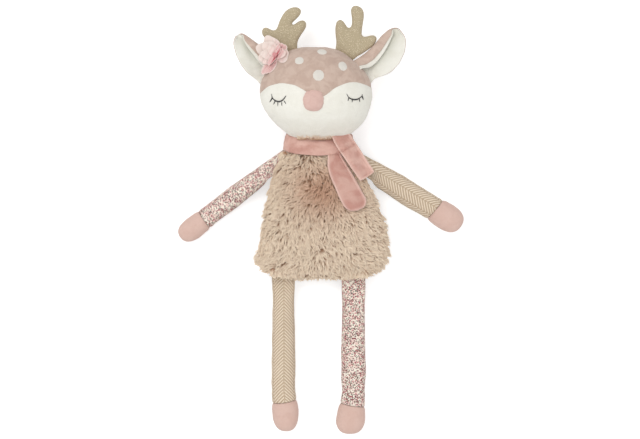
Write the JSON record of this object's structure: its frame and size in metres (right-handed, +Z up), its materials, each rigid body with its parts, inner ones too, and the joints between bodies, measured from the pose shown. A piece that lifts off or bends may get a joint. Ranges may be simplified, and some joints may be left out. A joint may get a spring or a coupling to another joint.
{
  "type": "plush deer doll",
  "caption": "Soft deer doll with antlers, folded ears, a cloth flower, a fur body, a velour scarf and limp patterned limbs, to hold, sit up or lay down.",
  "frame": {"origin": "on the table under the middle of the back, where the doll lies on it", "axes": "+Y from the feet to the head, +X to the doll's left hand, which is on the right when its face is seen, +Z up out of the belly and face"},
  "size_m": [0.2662, 0.4008, 0.0778],
  "materials": {
    "cream_velour": "short pile",
    "mauve_velour": "short pile",
    "pink_velour": "short pile",
    "nose_velour": "short pile",
    "scarf_velour": "short pile",
    "beige_fur": "wavy long pile",
    "ditsy_cotton": "printed plain weave",
    "herringbone_wool": "herringbone weave",
    "glitter_linen": "coarse weave with a glitter",
    "petal_chiffon": "sheer",
    "spot_felt": "short pile",
    "dark_thread": "embroidered thread",
    "polyester_fibre": "loose fibre"
  },
  "bodies": {
    "torso": {"torso_fur_front": "beige_fur", "torso_fur_back": "beige_fur", "torso_filling": "polyester_fibre", "scarf_loop": "scarf_velour", "scarf_wrap": "scarf_velour"},
    "head": {"face_panel": "cream_velour", "crown_panel": "mauve_velour", "head_back_panel": "mauve_velour", "head_filling": "polyester_fibre", "nose": "nose_velour", "spot_middle": "spot_felt", "spot_left": "spot_felt", "spot_right": "spot_felt", "spot_top": "spot_felt", "eyelid_left": "dark_thread", "eyelid_right": "dark_thread", "flower_outer_petals": "petal_chiffon", "flower_middle_petals": "petal_chiffon", "flower_inner_petals": "petal_chiffon", "flower_bud": "petal_chiffon"},
    "left_antler": {"left_antler_front": "glitter_linen", "left_antler_back": "glitter_linen", "left_antler_filling": "polyester_fibre"},
    "right_antler": {"right_antler_front": "glitter_linen", "right_antler_back": "glitter_linen", "right_antler_filling": "polyester_fibre"},
    "left_ear": {"left_ear_back": "mauve_velour", "left_ear_lining": "cream_velour"},
    "right_ear": {"right_ear_back": "mauve_velour", "right_ear_lining": "cream_velour"},
    "left_arm": {"left_arm": "ditsy_cotton", "left_hand": "pink_velour", "left_arm_filling": "polyester_fibre"},
    "right_arm": {"right_arm": "herringbone_wool", "right_hand": "pink_velour", "right_arm_filling": "polyester_fibre"},
    "left_leg": {"left_leg": "herringbone_wool", "left_foot": "pink_velour", "left_leg_filling": "polyester_fibre"},
    "right_leg": {"right_leg": "ditsy_cotton", "right_foot": "pink_velour", "right_leg_filling": "polyester_fibre"},
    "lower_tail": {"scarf_lower_tail": "scarf_velour"},
    "upper_tail": {"scarf_upper_tail": "scarf_velour"}
  },
  "joints": [
    {"name": "head_nod", "type": "hinge", "parent": "torso", "child": "head", "pos_m": [0, 0.0678, 0.0254], "axis": [1, 0, 0], "range_deg": [-25, 25], "deforming": ["scarf_loop", "scarf_wrap"]},
    {"name": "left_shoulder", "type": "hinge", "parent": "torso", "child": "left_arm", "pos_m": [-0.04072, 0.04477, 0.0214], "axis": [0.4153, 0.9097, 0], "range_deg": [-35, 40]},
    {"name": "right_shoulder", "type": "hinge", "parent": "torso", "child": "right_arm", "pos_m": [0.0418, 0.04463, 0.0214], "axis": [0.4478, -0.8941, 0], "range_deg": [-35, 40], "deforming": ["scarf_upper_tail"]},
    {"name": "left_hip", "type": "hinge", "parent": "torso", "child": "left_leg", "pos_m": [-0.033, -0.06465, 0.018], "axis": [-1, 0, 0], "range_deg": [-60, 90]},
    {"name": "right_hip", "type": "hinge", "parent": "torso", "child": "right_leg", "pos_m": [0.033, -0.06465, 0.018], "axis": [-1, 0, 0], "range_deg": [-60, 90]},
    {"name": "left_ear_fold", "type": "hinge", "parent": "head", "child": "left_ear", "pos_m": [-0.04938, 0.13274, 0.034], "axis": [0.5936, 0.8047, 0], "range_deg": [-45, 4], "stiffness_Nm_per_rad": 0.02},
    {"name": "right_ear_fold", "type": "hinge", "parent": "head", "child": "right_ear", "pos_m": [0.04439, 0.13277, 0.0355], "axis": [0.6248, -0.7808, 0], "range_deg": [-10, 45], "stiffness_Nm_per_rad": 0.02},
    {"name": "left_antler_flex", "type": "hinge", "parent": "head", "child": "left_antler", "pos_m": [-0.029, 0.15165, 0.034], "axis": [0.9077, 0.4197, 0], "range_deg": [-20, 20], "stiffness_Nm_per_rad": 0.05},
    {"name": "right_antler_flex", "type": "hinge", "parent": "head", "child": "right_antler", "pos_m": [0.02523, 0.14943, 0.034], "axis": [0.839, -0.5441, 0], "range_deg": [-20, 12], "stiffness_Nm_per_rad": 0.05},
    {"name": "lower_tail_lift", "type": "hinge", "parent": "torso", "child": "lower_tail", "pos_m": [0.0162, 0.0533, 0.0375], "axis": [-1, 0, 0], "range_deg": [0, 90]},
    {"name": "upper_tail_lift", "type": "hinge", "parent": "torso", "child": "upper_tail", "pos_m": [0.0316, 0.0606, 0.037], "axis": [-0.913, -0.408, 0], "range_deg": [0, 90]}
  ]
}
